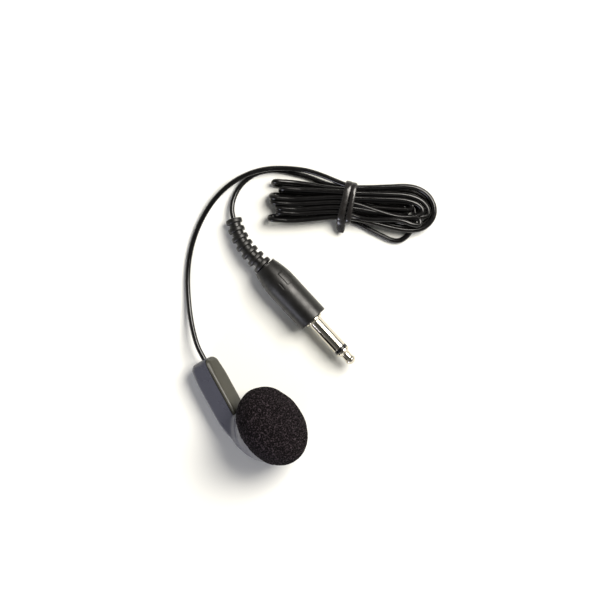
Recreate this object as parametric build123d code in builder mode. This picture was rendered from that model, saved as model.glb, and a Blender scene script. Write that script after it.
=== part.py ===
"""A mono in-ear earphone: a foam-covered speaker head on a slim stem, a tied hank
of thin lead and a moulded 3.5 mm two-pole plug.  Sizes are in millimetres.

The earpiece lies on its side on the table (z = 0) with its stem along +Y.  The
origin is under the middle of the earpiece.  The lead, the hank and the plug lie
on the same table.
"""
import os
from math import asin, atan2, cos, degrees, pi, radians, sin, tan

from build123d import *

os.makedirs("parts", exist_ok=True)

# ---------------------------------------------------------------- how the earpiece lies
HEAD_CENTRE = (1.80, -5.97, 9.45)   # on the driver axis, at the cushion's widest circle
FACE_ELEVATION = 31.0               # degrees the ear face looks up from the table
FACE_SWING = 7.1                    # degrees it is turned towards the cable end
STEM_DROP = 3.2                     # degrees the stem falls towards the cable end
STEM_BEHIND = 8.8                   # stem centreline behind the head centre

# ---------------------------------------------------------------- head and stem
RIM_R = 8.4             # front cap and rim of the rear shell
WALL = 1.0
SPLIT_W = -2.4          # where cap and shell meet, along the driver axis
CAP_FRONT_W = 2.8
CAP_BORE_R = 7.7
GRILLE_HOLE_R = 0.4
BOWL_DEPTH_W = -11.7    # the back of the bowl, along the driver axis
BOWL_TIP_R = 4.0
STEM_DEPTH = 5.9
STEM_WIDTH = 5.9
STEM_LENGTH = 23.0
END_WALL = 1.4
COVER_THICKNESS = 0.8
COVER_START = 4.5       # along the stem, inside the bowl's outline

# ---------------------------------------------------------------- foam cushion
FOAM_R = 10.25
FOAM_HALF = 6.2         # half thickness of the full oblate shape
FOAM_SIDE_R = 4.6       # roundness of its side
FOAM_BORE_R = 8.55
FOAM_BACK_W = -3.0
FOAM_FLOOR_W = 3.1      # inner face in front of the cap

# ---------------------------------------------------------------- driver
COIL_R = 3.8
COIL_BORE_R = 3.45
MAGNET_R = 3.0
POLE_R = 3.3
YOKE_R = 4.6
YOKE_BORE_R = 4.05
YOKE_BACK_W = -3.3
BOARD_W = -3.85         # back of the terminal board, along the driver axis
PAD_X = 1.6             # the solder dots, towards the cable end
DIAPHRAGM_R = 6.85
FILM = 0.12             # thickness of the diaphragm
FILM_W = 0.62           # its flat, along the driver axis
DOME_RISE = 0.53

# ---------------------------------------------------------------- plug
PLUG_FACE = (22.98, 11.9, 3.85)     # centre of the barrel's front face
PLUG_HEADING = -75.9                # degrees from +X, towards the tip
SLEEVE_R = 1.75
SLEEVE_END = 9.5
RING_END = 10.3         # the black ring between the contacts ends here
TIP_END = 14.4
ROD_R = 0.7             # the centre contact inside the sleeve
BARREL_R = 3.83
BARREL_STRAIGHT = 11.7
BARREL_LENGTH = 17.6
BARREL_BACK_R = 2.95
MOULD_LENGTH = 12.6     # the inner moulding, behind the barrel's face
CORE_R = 1.5            # the relief's core between its ribs
ROOT_R = 1.35           # the relief's root inside the barrel
RIB_PITCH = 2.05
RIB_COUNT = 7
RIB_THICKNESS = 1.15
FIRST_RIB = 0.6         # from the cable end to the middle of the first rib
FIRST_RIB_R = 2.03
RIB_GROWTH = 0.055      # each rib is this much larger than the one before
TIP_SOLDER_X = 0.95     # the solder joints, either side of the plug's axis
SLEEVE_SOLDER_X = -1.3

# ---------------------------------------------------------------- cord, hank and tie
CORD_D = 1.25
WIRE_D = 0.5
KNOT_BACK = 4.6                     # the knot's far end, inside the stem's end
CORD_SIDE = 0.75                    # the cord leaves in front of the stem's centreline
LIE = CORD_D / 2 + 0.03             # height of the cord's centre where it lies
TIE_PLACE = (42.45, 32.85)          # where the tie crosses the hank
HANK_HEADING = -32.5                # degrees from +X, towards the open loops
HANK_HEIGHT = 4.4
WAIST_HEIGHT = 3.5                  # the bundle where the tie squeezes it
WAIST_WIDTH = 11.0
TIE_THICKNESS = 0.5
TIE_WIDTH = 3.2
TIE_SLANT = 9.0


def direction(heading, elevation=0.0):
    """Unit vector from a compass heading and an elevation, in degrees."""
    h, e = radians(heading), radians(elevation)
    return Vector(cos(h) * cos(e), sin(h) * cos(e), sin(e))


# The face plane's z runs out of the ear face and its x towards the cable end.
FACE_DIR = direction(FACE_SWING, FACE_ELEVATION)
STEM_DIR = direction(90, -STEM_DROP)
FACE_X = (STEM_DIR - FACE_DIR * STEM_DIR.dot(FACE_DIR)).normalized()
FACE = Plane(origin=HEAD_CENTRE, x_dir=FACE_X, z_dir=FACE_DIR)
FACE_SECTION = Plane(origin=HEAD_CENTRE, x_dir=FACE_X, z_dir=-FACE.y_dir)
FACE_AXIS = Axis(FACE.origin, FACE_DIR)

# The stem plane's z runs along the stem and its x towards the front strip.
STEM_FRONT = (FACE_DIR - STEM_DIR * FACE_DIR.dot(STEM_DIR)).normalized()
STEM_ROOT = FACE.origin - FACE_DIR * STEM_BEHIND
STEM = Plane(origin=STEM_ROOT, x_dir=STEM_FRONT, z_dir=STEM_DIR)

# The plug plane's z runs out of the barrel's face towards the tip.
PLUG_DIR = direction(PLUG_HEADING)
PLUG = Plane(origin=PLUG_FACE, x_dir=(0, 0, 1), z_dir=PLUG_DIR)
PLUG_SECTION = Plane(origin=PLUG_FACE, x_dir=(0, 0, 1), z_dir=-PLUG.y_dir)
PLUG_AXIS = Axis(PLUG.origin, PLUG_DIR)

# The hank plane lies on the table with x along the bundle.
HANK = Plane(origin=(*TIE_PLACE, 0), x_dir=direction(HANK_HEADING), z_dir=(0, 0, 1))


def save(part, name):
    """Label a finished piece and write its STEP file."""
    part.label = name
    export_step(part, f"parts/{name}.step")


def turned(points, section, axis):
    """A ring, disc or cup turned about an axis from its half section."""
    with BuildPart() as piece:
        with BuildSketch(section):
            with BuildLine():
                Polyline(*points, close=True)
            make_face()
        revolve(axis=axis)
    return piece.part


def ring(r_in, r_out, low, high, section, axis):
    """A plain ring, or a disc when r_in is 0."""
    return turned([(r_in, low), (r_out, low), (r_out, high), (r_in, high)], section, axis)


def corner_radii(points):
    """The largest tangent arc at each corner, 0.45 of the shorter run beside it."""
    radii = []
    for a, b, c in zip(points, points[1:], points[2:]):
        run_in, run_out = Vector(*b) - Vector(*a), Vector(*c) - Vector(*b)
        half_turn = radians(run_in.get_angle(run_out)) / 2
        radii.append(0.45 * min(run_in.length, run_out.length) / tan(half_turn))
    return radii


def tube(points, diameter, name):
    """A round cord or wire along straight runs joined by tangent arcs."""
    radii = corner_radii(points)
    with BuildPart() as piece:
        with BuildLine():
            path = FilletPolyline(*points, radius=radii)
        with BuildSketch(Plane(origin=path @ 0, z_dir=path % 0)):
            Circle(diameter / 2)
        sweep(path=path)
    expected = pi * diameter ** 2 / 4 * path.length
    print(f"{name}: length {path.length:.1f}, volume ratio "
          f"{piece.part.volume / expected:.3f}, radii {[round(r, 1) for r in radii]}")
    return piece.part


# ================================================================ foam cushion
def foam_cushion():
    """An oblate cup of foam with a straight bore that slides over the cap."""
    side_centre = FOAM_R - FOAM_SIDE_R
    gap = FOAM_HALF - FOAM_SIDE_R
    drop = (side_centre ** 2 - gap ** 2) / (2 * gap)
    join = degrees(atan2(drop, side_centre))
    back = degrees(asin(FOAM_BACK_W / FOAM_SIDE_R))
    with BuildPart() as foam:
        with BuildSketch(FACE_SECTION):
            with BuildLine():
                dome = CenterArc((0, -drop), FOAM_HALF + drop, 90, join - 90)
                side = CenterArc((side_centre, 0), FOAM_SIDE_R, join, back - join)
                Polyline(side @ 1, (FOAM_BORE_R, FOAM_BACK_W), (FOAM_BORE_R, FOAM_FLOOR_W),
                         (0, FOAM_FLOOR_W), dome @ 0)
            make_face()
        revolve(axis=FACE_AXIS)
    return foam.part


# ================================================================ head and stem
def bowl(shrink):
    """The rear shell's turned bowl, drawn in by shrink for its inside."""
    rim = RIM_R - shrink
    tip_r = BOWL_TIP_R - shrink
    tip_w = BOWL_DEPTH_W + BOWL_TIP_R
    with BuildPart() as solid:
        with BuildSketch(FACE_SECTION):
            with BuildLine():
                tip = CenterArc((0, tip_w), tip_r, -90, 45)
                flank = ThreePointArc(tip @ 1, (5.75 - 0.8 * shrink, -6.9 + 0.6 * shrink),
                                      (rim, SPLIT_W - 0.6))
                Polyline(flank @ 1, (rim, SPLIT_W), (0, SPLIT_W), tip @ 0)
            make_face()
        revolve(axis=FACE_AXIS)
    return solid.part


def stem_bar():
    """The stem's outside: a square bar with rounded corners and a crowned end."""
    with BuildPart() as bar:
        with BuildSketch(STEM):
            RectangleRounded(STEM_DEPTH, STEM_WIDTH, 1.0)
        extrude(amount=STEM_LENGTH)
        end_face = bar.faces().sort_by(Axis(STEM.origin, STEM_DIR))[-1]
        fillet(end_face.edges(), 1.5)
    return bar.part


def cover_space():
    """The block in front of the stem that belongs to the cover, clear of the bowl."""
    cut_x = STEM_DEPTH / 2 - COVER_THICKNESS
    with BuildPart() as block:
        with BuildSketch(STEM.offset(COVER_START)):
            with Locations((cut_x + 3, 0)):
                Rectangle(6, STEM_WIDTH + 2)
        extrude(amount=STEM_LENGTH)
        add(bowl(0), mode=Mode.SUBTRACT)
    return block.part


def stem_hollow():
    """The channel inside the stem and the hole for the cord in its end wall."""
    cover_back = STEM_DEPTH / 2 - COVER_THICKNESS
    low = -STEM_DEPTH / 2 + WALL
    with BuildPart() as hollow:
        with BuildSketch(STEM):
            with Locations(((low + cover_back) / 2, 0)):
                Rectangle(cover_back - low, STEM_WIDTH - 2 * WALL)
        extrude(amount=STEM_LENGTH - END_WALL)
        with BuildSketch(STEM.offset(STEM_LENGTH - 2)):
            with Locations((CORD_SIDE, 0)):
                Circle(CORD_D / 2)
        extrude(amount=3)
    return hollow.part


def rear_shell(bar):
    with BuildPart() as shell:
        add(bowl(0))
        add(bar)
        add(bowl(WALL), mode=Mode.SUBTRACT)
        add(stem_hollow(), mode=Mode.SUBTRACT)
        add(cover_space(), mode=Mode.SUBTRACT)
        with BuildSketch(FACE.offset(SPLIT_W)):
            Rectangle(60, 30)
        extrude(amount=12, mode=Mode.SUBTRACT)
    return shell.part


def stem_cover(bar):
    with BuildPart() as cover:
        add(bar)
        add(cover_space(), mode=Mode.INTERSECT)
    return cover.part


def front_cap():
    """The ring round the driver, with an inner lip that holds the grille."""
    with BuildPart() as cap:
        with BuildSketch(FACE_SECTION):
            with BuildLine():
                Polyline((RIM_R, CAP_FRONT_W - 0.9), (RIM_R, SPLIT_W), (CAP_BORE_R, SPLIT_W),
                         (CAP_BORE_R, 2.2), (6.7, 2.2), (6.7, CAP_FRONT_W),
                         (RIM_R - 0.9, CAP_FRONT_W))
                ThreePointArc((RIM_R - 0.9, CAP_FRONT_W), (RIM_R - 0.26, CAP_FRONT_W - 0.26),
                              (RIM_R, CAP_FRONT_W - 0.9))
            make_face()
        revolve(axis=FACE_AXIS)
    return cap.part


def grille():
    """A flat plate with rings of holes."""
    with BuildPart() as plate:
        with BuildSketch(FACE.offset(1.8)):
            Circle(CAP_BORE_R - 0.05)
            Circle(GRILLE_HOLE_R, mode=Mode.SUBTRACT)
            for number in (1, 2, 3, 4):
                with PolarLocations(1.4 * number, 6 * number):
                    Circle(GRILLE_HOLE_R, mode=Mode.SUBTRACT)
        extrude(amount=0.4)
    return plate.part


# ================================================================ driver
def diaphragm():
    """A thin film: a centre dome, the flat that carries the coil, and a half roll."""
    flat_r = COIL_R + 0.1
    dome_r = (COIL_BORE_R ** 2 + DOME_RISE ** 2) / (2 * DOME_RISE)
    dome_w = FILM_W + DOME_RISE - dome_r
    dome_angle = degrees(asin(COIL_BORE_R / dome_r))
    with BuildPart() as film_part:
        with BuildSketch(FACE_SECTION):
            with BuildLine():
                top = CenterArc((0, dome_w), dome_r, 90, -dome_angle)
                Line(top @ 1, (flat_r, FILM_W))
                roll = ThreePointArc((flat_r, FILM_W), (5.4, FILM_W + 0.5), (DIAPHRAGM_R, FILM_W))
                Line(roll @ 1, (DIAPHRAGM_R, FILM_W - FILM))
                ThreePointArc((DIAPHRAGM_R, FILM_W - FILM), (5.4, FILM_W + 0.5 - FILM),
                              (flat_r, FILM_W - FILM))
                under = CenterArc((0, dome_w - FILM), dome_r, 90, -dome_angle)
                Line((flat_r, FILM_W - FILM), under @ 1)
                Line(under @ 0, top @ 0)
            make_face()
        revolve(axis=FACE_AXIS)
    return film_part.part


def driver_frame():
    """The basket that holds the magnet cup and the diaphragm's ring, with six vents."""
    outline = [(YOKE_R, -2.35), (7.6, -2.35), (7.6, 0.95), (7.1, 0.95), (7.1, -1.75),
               (YOKE_R, -1.75)]
    with BuildPart() as basket:
        add(turned(outline, FACE_SECTION, FACE_AXIS))
        with BuildSketch(FACE.offset(-3)):
            with PolarLocations(5.9, 6):
                Circle(0.6)
        extrude(amount=2, mode=Mode.SUBTRACT)
    return basket.part


def terminal_board():
    with BuildPart() as board:
        with BuildSketch(FACE.offset(BOARD_W)):
            with Locations((PAD_X, 0)):
                RectangleRounded(2.6, 5.0, 0.4)
        extrude(amount=YOKE_BACK_W - BOARD_W)
    return board.part


def solder_dots():
    with BuildPart() as dots:
        with BuildSketch(FACE.offset(BOARD_W)):
            with Locations((PAD_X, 1.4), (PAD_X, -1.4)):
                Circle(0.6)
        extrude(amount=-0.5, taper=25)
    return dots.part


def cord_knot():
    """The cord's end inside the stem, with the bead that keeps it from pulling out."""
    with BuildPart() as knot:
        with BuildSketch(STEM.offset(STEM_LENGTH)):
            with Locations((CORD_SIDE, 0)):
                Circle(CORD_D / 2 - 0.02)
        extrude(amount=-4)
        with BuildSketch(STEM.offset(STEM_LENGTH - KNOT_BACK)):
            RectangleRounded(2.6, 3.0, 0.8)
        extrude(amount=2.6)
        fillet(knot.faces().sort_by(Axis(STEM.origin, STEM_DIR))[0].edges(), 0.5)
    return knot.part


def ear_wire(side):
    """One core from the knot to its solder dot."""
    start = STEM.from_local_coords((0, -side * 0.6, STEM_LENGTH - KNOT_BACK))
    bend = STEM.from_local_coords((-0.6, -side * 0.7, 12))
    turn_in = FACE.from_local_coords((4.2, side * 1.3, -7.9))
    end = FACE.from_local_coords((1.9, side * 1.4, -4.3))
    return [tuple(point) for point in (start, bend, turn_in, end)]


# ================================================================ plug
def plug_tip():
    """The centre contact: a long rod with a shouldered, bulbed and pointed head."""
    outline = [(0, -5.4), (ROD_R, -5.4), (ROD_R, RING_END), (SLEEVE_R, RING_END),
               (SLEEVE_R, RING_END + 0.6), (1.15, 11.4), (1.12, 12.9), (1.32, 13.3),
               (1.25, 13.7), (0.55, TIP_END), (0, TIP_END)]
    return turned(outline, PLUG_SECTION, PLUG_AXIS)


def plug_insulator():
    """The black ring between the contacts, in one piece with the tube round the rod."""
    outline = [(ROD_R, -3.2), (1.2, -3.2), (1.2, SLEEVE_END), (SLEEVE_R - 0.02, SLEEVE_END),
               (SLEEVE_R - 0.02, RING_END), (ROD_R, RING_END)]
    return turned(outline, PLUG_SECTION, PLUG_AXIS)


def plug_sleeve():
    """The 3.5 mm barrel contact with its collar and the tail inside the moulding."""
    outline = [(1.2, -2.6), (2.2, -2.6), (2.2, 0.0), (2.3, 0.0), (2.3, 0.45), (SLEEVE_R, 0.7),
               (SLEEVE_R, SLEEVE_END), (1.2, SLEEVE_END)]
    return turned(outline, PLUG_SECTION, PLUG_AXIS)


def rear_washer():
    """The insulating washer that keeps the two solder lugs apart."""
    return ring(ROD_R, 1.5, -3.9, -3.2, PLUG_SECTION, PLUG_AXIS)


def lug(eye_r, bore_r, start, tab_x, tab_length):
    """A stamped solder lug: an eye round the rod with a tab to the rear."""
    with BuildPart() as stamping:
        with BuildSketch(PLUG.offset(start)):
            Circle(eye_r)
            Circle(bore_r, mode=Mode.SUBTRACT)
        extrude(amount=0.6)
        with BuildSketch(PLUG.offset(start)):
            with Locations((tab_x, 0)):
                Rectangle(0.4, 1.6)
        extrude(amount=-tab_length)
    return stamping.part


def plug_solder():
    """The two solder joints on the lugs' tabs."""
    with BuildPart() as joints:
        with BuildSketch(PLUG.offset(-8.3)):
            with Locations((TIP_SOLDER_X, 0), (SLEEVE_SOLDER_X, 0)):
                RectangleRounded(0.8, 1.2, 0.3)
        extrude(amount=1.2)
    return joints.part


def core_wire(solder_x):
    """One core of the cord inside the plug, from its solder joint to the relief."""
    points = [(solder_x, 0, -8.3), (solder_x * 0.9, 0, -10.4), (solder_x * 0.4, 0, -MOULD_LENGTH)]
    return [tuple(PLUG.from_local_coords(point)) for point in points]


def plug_barrel():
    """The soft outer moulding: a cylinder that tapers in a curve to its rear ledge."""
    with BuildPart() as barrel:
        with BuildSketch(PLUG_SECTION):
            with BuildLine():
                Polyline((2.3, 0), (BARREL_R - 0.35, 0))
                ThreePointArc((BARREL_R - 0.35, 0), (BARREL_R - 0.1, -0.1),
                              (BARREL_R, -0.35))
                Line((BARREL_R, -0.35), (BARREL_R, -BARREL_STRAIGHT))
                ThreePointArc((BARREL_R, -BARREL_STRAIGHT), (3.65, -14.7),
                              (BARREL_BACK_R, -BARREL_LENGTH))
                Polyline((BARREL_BACK_R, -BARREL_LENGTH), (ROOT_R, -BARREL_LENGTH),
                         (ROOT_R, -MOULD_LENGTH), (3.0, -MOULD_LENGTH), (3.0, -0.8),
                         (2.3, -0.8), (2.3, 0))
            make_face()
        revolve(axis=PLUG_AXIS)
    return barrel.part


def inner_mould(pieces):
    """The hard moulding cast round the solder joints and the contacts' tails."""
    with BuildPart() as mould:
        add(ring(0, 3.0, -MOULD_LENGTH, -0.8, PLUG_SECTION, PLUG_AXIS))
        for piece in pieces:
            add(piece, mode=Mode.SUBTRACT)
    return mould.part


RELIEF_ROUTE = [(18.75, 28.78, 3.85), (17.35, 32.6, 3.6), (16.72, 36.9, 3.0),
                (16.95, 40.2, 2.45), (17.68, 42.83, 2.1)]


def strain_relief():
    """Seven ribs on a bending core that ends where the cord enters."""
    with BuildPart() as relief:
        with BuildLine():
            path = FilletPolyline(*RELIEF_ROUTE, radius=corner_radii(RELIEF_ROUTE))
        with BuildSketch(Plane(origin=path @ 0, z_dir=path % 0)):
            Circle(CORE_R)
        sweep(path=path)
        for number in range(RIB_COUNT):
            from_end = FIRST_RIB + number * RIB_PITCH
            place = 1 - from_end / path.length
            with BuildSketch(Plane(origin=path @ place, z_dir=path % place)):
                Circle(FIRST_RIB_R + RIB_GROWTH * number)
            extrude(amount=RIB_THICKNESS / 2, both=True)
    with BuildPart() as finished:
        add(relief.part)
        with BuildSketch(PLUG.offset(-BARREL_LENGTH)):
            Circle(4)
        extrude(amount=3, mode=Mode.SUBTRACT)
        with BuildSketch(PLUG.offset(-BARREL_LENGTH)):
            Circle(ROOT_R)
        extrude(amount=BARREL_LENGTH - MOULD_LENGTH)
    return finished.part


# ================================================================ cord
CORD_EXIT = STEM.from_local_coords((CORD_SIDE, 0, STEM_LENGTH))
CORD_START = STEM.from_local_coords((CORD_SIDE, 0, STEM_LENGTH + 4))

# The free cord from the stem to the tie: it drops to the table, sweeps round and
# passes over the other end of the cord before it joins the bundle.
EARPHONE_ROUTE = [
    tuple(CORD_EXIT), tuple(CORD_START), (-3.6, 25.6, 2.2), (-1.45, 31.0, 1.0),
    (1.3, 36.6, LIE), (5.3, 42.0, LIE), (10.6, 46.6, 0.9), (16.8, 49.9, 1.7), (23.4, 51.15, 2.3),
    (30.0, 50.2, 2.2), (36.0, 47.0, 1.6), (40.6, 43.4, 1.5), (43.7, 39.3, 1.9)]

# The other end, from the strain relief to the tie.
PLUG_ROUTE = [
    RELIEF_ROUTE[-1], (18.25, 44.9, 1.75), (19.9, 47.2, 1.2), (22.9, 49.0, 0.8),
    (26.6, 49.75, LIE), (30.6, 49.2, LIE), (34.4, 46.6, LIE), (38.6, 42.9, 0.9),
    (42.9, 38.45, 1.6)]


def hank_outline():
    """The hank seen from above: tight ends at the left, open loops at the right."""
    return [(-18.4, -4.6), (-13.0, -5.1), (-6.0, -4.6), (-1.5, -6.2), (6.5, -6.2), (12.0, -8.4),
            (16.6, -8.2), (18.5, -5.8), (22.0, -4.4), (23.7, -0.6), (22.4, 4.0), (19.4, 7.0),
            (14.0, 7.0), (7.5, 5.6), (0.5, 6.3), (-3.0, 6.6), (-6.0, 4.9), (-13.5, 5.6),
            (-18.3, 5.2), (-18.9, 0.2)]


TIE_MIDDLE = HANK.from_local_coords((1.0, -0.3, TIE_THICKNESS + WAIST_HEIGHT / 2))
TIE = Plane(origin=TIE_MIDDLE, x_dir=direction(HANK_HEADING + 90 - TIE_SLANT),
            z_dir=direction(HANK_HEADING - TIE_SLANT))


def waist_section(grow):
    """The rounded section of the bundle at the tie, or of the tie round it."""
    return WAIST_WIDTH + 2 * grow, WAIST_HEIGHT + 2 * grow, 1.4 + grow


def cord_hank():
    """The bundle's outer shape, squeezed to a waist where the tie goes round it."""
    with BuildPart() as hank:
        with BuildSketch(HANK):
            with BuildLine():
                FilletPolyline(*hank_outline(), radius=1.0, close=True)
            make_face()
        extrude(amount=HANK_HEIGHT)
        fillet(hank.faces().sort_by(Axis.Z)[-1].edges(), 0.9)
        with BuildSketch(TIE.offset(-TIE_WIDTH / 2 - 0.05)):
            Rectangle(30, 20)
            RectangleRounded(*waist_section(0), mode=Mode.SUBTRACT)
        extrude(amount=TIE_WIDTH + 0.1, mode=Mode.SUBTRACT)
    return hank.part


def tie_band():
    """Two flat turns side by side round the waist, and the cut end beside them."""
    with BuildPart() as tie:
        with BuildSketch(TIE.offset(-TIE_WIDTH / 2)):
            RectangleRounded(*waist_section(TIE_THICKNESS - 0.01))
        extrude(amount=TIE_WIDTH)
        with BuildSketch(TIE.offset(-0.1)):
            RectangleRounded(*waist_section(TIE_THICKNESS))
            RectangleRounded(*waist_section(TIE_THICKNESS - 0.2), mode=Mode.SUBTRACT)
        extrude(amount=0.2, mode=Mode.SUBTRACT)
        with BuildSketch(TIE.offset(-TIE_WIDTH / 2 + 0.3)):
            with Locations((-WAIST_WIDTH / 2 - 1.1, -0.6)):
                RectangleRounded(1.6, 2.4, 0.4)
        extrude(amount=2.3)
        with BuildSketch(TIE.offset(-TIE_WIDTH)):
            RectangleRounded(*waist_section(0))
        extrude(amount=2 * TIE_WIDTH, mode=Mode.SUBTRACT)
    return tie.part


# ================================================================ build and write
BAR = stem_bar()
EAR_RING = (FACE_SECTION, FACE_AXIS)

save(foam_cushion(), "foam_cushion")
save(front_cap(), "front_cap")
save(grille(), "grille")
save(rear_shell(BAR), "rear_shell")
save(stem_cover(BAR), "stem_cover")

save(ring(0, CAP_BORE_R - 0.05, 1.58, 1.78, *EAR_RING), "damping_cloth")
save(diaphragm(), "diaphragm")
save(ring(COIL_BORE_R, COIL_R, -1.35, 0.5, *EAR_RING), "voice_coil")
save(ring(DIAPHRAGM_R + 0.1, 7.55, 0.95, 1.5, *EAR_RING), "diaphragm_ring")
save(driver_frame(), "driver_frame")
save(ring(0, POLE_R, -0.95, -0.15, *EAR_RING), "pole_plate")
save(ring(0, MAGNET_R, -2.6, -0.95, *EAR_RING), "magnet")
save(turned([(0, YOKE_BACK_W), (YOKE_R, YOKE_BACK_W), (YOKE_R, -0.1), (YOKE_BORE_R, -0.1),
             (YOKE_BORE_R, -2.6), (0, -2.6)], *EAR_RING), "yoke")
save(ring(YOKE_R + 0.15, 7.2, -2.47, -2.35, *EAR_RING), "rear_damping_paper")
save(terminal_board(), "terminal_board")
save(solder_dots(), "solder_dots")
save(cord_knot(), "cord_knot")
save(tube(ear_wire(1), WIRE_D, "signal_wire"), "signal_wire")
save(tube(ear_wire(-1), WIRE_D, "return_wire"), "return_wire")

contacts = {"plug_tip": plug_tip(), "plug_insulator": plug_insulator(),
            "plug_sleeve": plug_sleeve(), "rear_washer": rear_washer(),
            "tip_lug": lug(1.5, ROD_R, -4.5, 1.55, 3.6),
            "sleeve_lug": lug(2.1, 1.2, -3.2, -1.9, 5.0), "plug_solder": plug_solder(),
            "plug_signal_wire": tube(core_wire(TIP_SOLDER_X), WIRE_D, "plug_signal_wire"),
            "plug_return_wire": tube(core_wire(SLEEVE_SOLDER_X), WIRE_D, "plug_return_wire")}
for contact_name, contact in contacts.items():
    save(contact, contact_name)
save(inner_mould(contacts.values()), "inner_mould")
save(plug_barrel(), "plug_barrel")
save(strain_relief(), "strain_relief")

save(tube(EARPHONE_ROUTE, CORD_D, "earphone_lead"), "earphone_lead")
save(tube(PLUG_ROUTE, CORD_D, "plug_lead"), "plug_lead")
save(cord_hank(), "cord_hank")
save(tie_band(), "tie_band")
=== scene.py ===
# %% [markdown]
# # A mono earphone with a tied lead
# One small earphone lies on a pale table: a foam ball on a slim plastic stem, a thin black
# lead folded into a tied hank, and a moulded 3.5 mm plug.  The CAD frame gives every size
# and place.  This script adds what CAD does not hold: the soft foam, the smooth shells, the
# turns of the lead and a finish for each material.
# %% Load the frame
from math import cos, pi, radians, sin, tan

import bmesh
import bpy
import numpy as np
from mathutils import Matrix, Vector, noise


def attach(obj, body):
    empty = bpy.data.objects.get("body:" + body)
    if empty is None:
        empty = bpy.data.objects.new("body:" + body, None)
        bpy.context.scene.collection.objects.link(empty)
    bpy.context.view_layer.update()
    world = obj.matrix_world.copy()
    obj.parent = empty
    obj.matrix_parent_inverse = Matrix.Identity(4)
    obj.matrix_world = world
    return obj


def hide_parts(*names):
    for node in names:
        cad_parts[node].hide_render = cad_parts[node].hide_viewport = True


MM = 0.001
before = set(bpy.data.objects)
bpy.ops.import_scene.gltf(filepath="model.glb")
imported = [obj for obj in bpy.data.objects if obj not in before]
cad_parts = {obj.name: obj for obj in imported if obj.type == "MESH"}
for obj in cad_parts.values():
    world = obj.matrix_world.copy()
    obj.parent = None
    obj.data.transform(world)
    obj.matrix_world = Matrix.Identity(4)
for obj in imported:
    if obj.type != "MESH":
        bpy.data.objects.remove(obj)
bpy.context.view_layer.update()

# %% [markdown]
# A finish is a small network of nodes.  Two helpers are enough for all of them: one turns a
# colour as a painter writes it (sRGB hex) into the linear light that the renderer adds up,
# and one adds a node, sets it and wires it in a single call.  The same helper also builds
# the Geometry Nodes trees further down.
# %% Two helpers for node trees


def linear(code):
    """An sRGB hex colour as linear red, green, blue and alpha."""
    channels = [int(code[i:i + 2], 16) / 255 for i in (1, 3, 5)]
    return [c / 12.92 if c <= 0.04045 else ((c + 0.055) / 1.055) ** 2.4 for c in channels] + [1]


def add_node(tree, kind, inputs=None, **settings):
    """Add a node.  Each input is given a value, or the output socket that it is wired to."""
    node = tree.nodes.new(kind)
    for name, value in settings.items():
        setattr(node, name, value)
    for name, value in (inputs or {}).items():
        socket = node.inputs[name]
        if isinstance(value, bpy.types.NodeSocket):
            tree.links.new(value, socket)
        else:
            socket.default_value = value
    return node


# %% [markdown]
# The camera looks straight down through a long lens, so the object is drawn almost without
# perspective.  It is turned a little about the vertical, because the stem does not lie
# square to the picture.
# %% Camera
PICTURE_WIDTH = 146.7 * MM
PICTURE_MIDDLE = Vector((22.41, 17.62, 3.0)) * MM
PICTURE_TURN = radians(-28.7)
LENS, SENSOR = 250, 36

camera = bpy.data.objects.new("camera", bpy.data.cameras.new("camera"))
camera.data.lens = LENS
camera.data.sensor_width = SENSOR
camera.location = PICTURE_MIDDLE + Vector((0, 0, PICTURE_WIDTH * LENS / SENSOR))
camera.rotation_euler = (0, 0, PICTURE_TURN)
bpy.context.scene.collection.objects.link(camera)
bpy.context.scene.camera = camera
picture_right = Vector((cos(PICTURE_TURN), sin(PICTURE_TURN), 0))
picture_up = Vector((-sin(PICTURE_TURN), cos(PICTURE_TURN), 0))
print("camera height", round(camera.location.z, 3), "m")

# %% [markdown]
# Small glossy things are lit with few, large lights.  The main softbox stands at the upper
# right and throws the soft shadows to the lower left.  A cooler, weaker one low on the
# opposite side draws the lilac edge along the shells.
# %% Lights


def softbox(name, side, height_angle, distance, size, power, colour):
    """A square area light aimed at the object; side is right and up in the picture."""
    heading = (picture_right * side[0] + picture_up * side[1]).normalized()
    toward = heading * cos(radians(height_angle)) + Vector((0, 0, sin(radians(height_angle))))
    light = bpy.data.objects.new(name, bpy.data.lights.new(name, "AREA"))
    light.data.size = size
    light.data.energy = power
    light.data.color = linear(colour)[:3]
    light.location = PICTURE_MIDDLE + toward * distance
    light.rotation_euler = toward.to_track_quat("Z", "Y").to_euler()
    bpy.context.scene.collection.objects.link(light)


softbox("key_softbox", side=(1, 0.75), height_angle=52, distance=0.75, size=0.45, power=8.8,
        colour="#fffaf2")
softbox("edge_softbox", side=(-0.6, -1), height_angle=15, distance=0.6, size=0.26, power=2.0,
        colour="#e8e8f9")
print("softboxes:", [light.name for light in bpy.data.lights])

# %% [markdown]
# The studio's ceiling is dark and its walls are pale: black plastic seen from above stays
# black, and the shadows are still filled from the sides.  So the sky's strength fades with
# the height of the direction it is seen in.  The table is one large flat square.
# %% Sky and table
CEILING, WALLS = 0.06, 0.5
TABLE_SIZE = 1.6

scene = bpy.context.scene
scene.view_settings.view_transform = "Standard"
scene.world = bpy.data.worlds.new("studio")
scene.world.use_nodes = True
sky_tree = scene.world.node_tree
sky = sky_tree.nodes["Background"]
sky.inputs["Color"].default_value = linear("#f7f6f3")
aim = add_node(sky_tree, "ShaderNodeTexCoord")
height = add_node(sky_tree, "ShaderNodeSeparateXYZ", {"Vector": aim.outputs["Generated"]})
fade = add_node(sky_tree, "ShaderNodeMapRange", {
    "Value": height.outputs["Z"], "To Min": WALLS, "To Max": CEILING})
sky_tree.links.new(fade.outputs["Result"], sky.inputs["Strength"])

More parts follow.
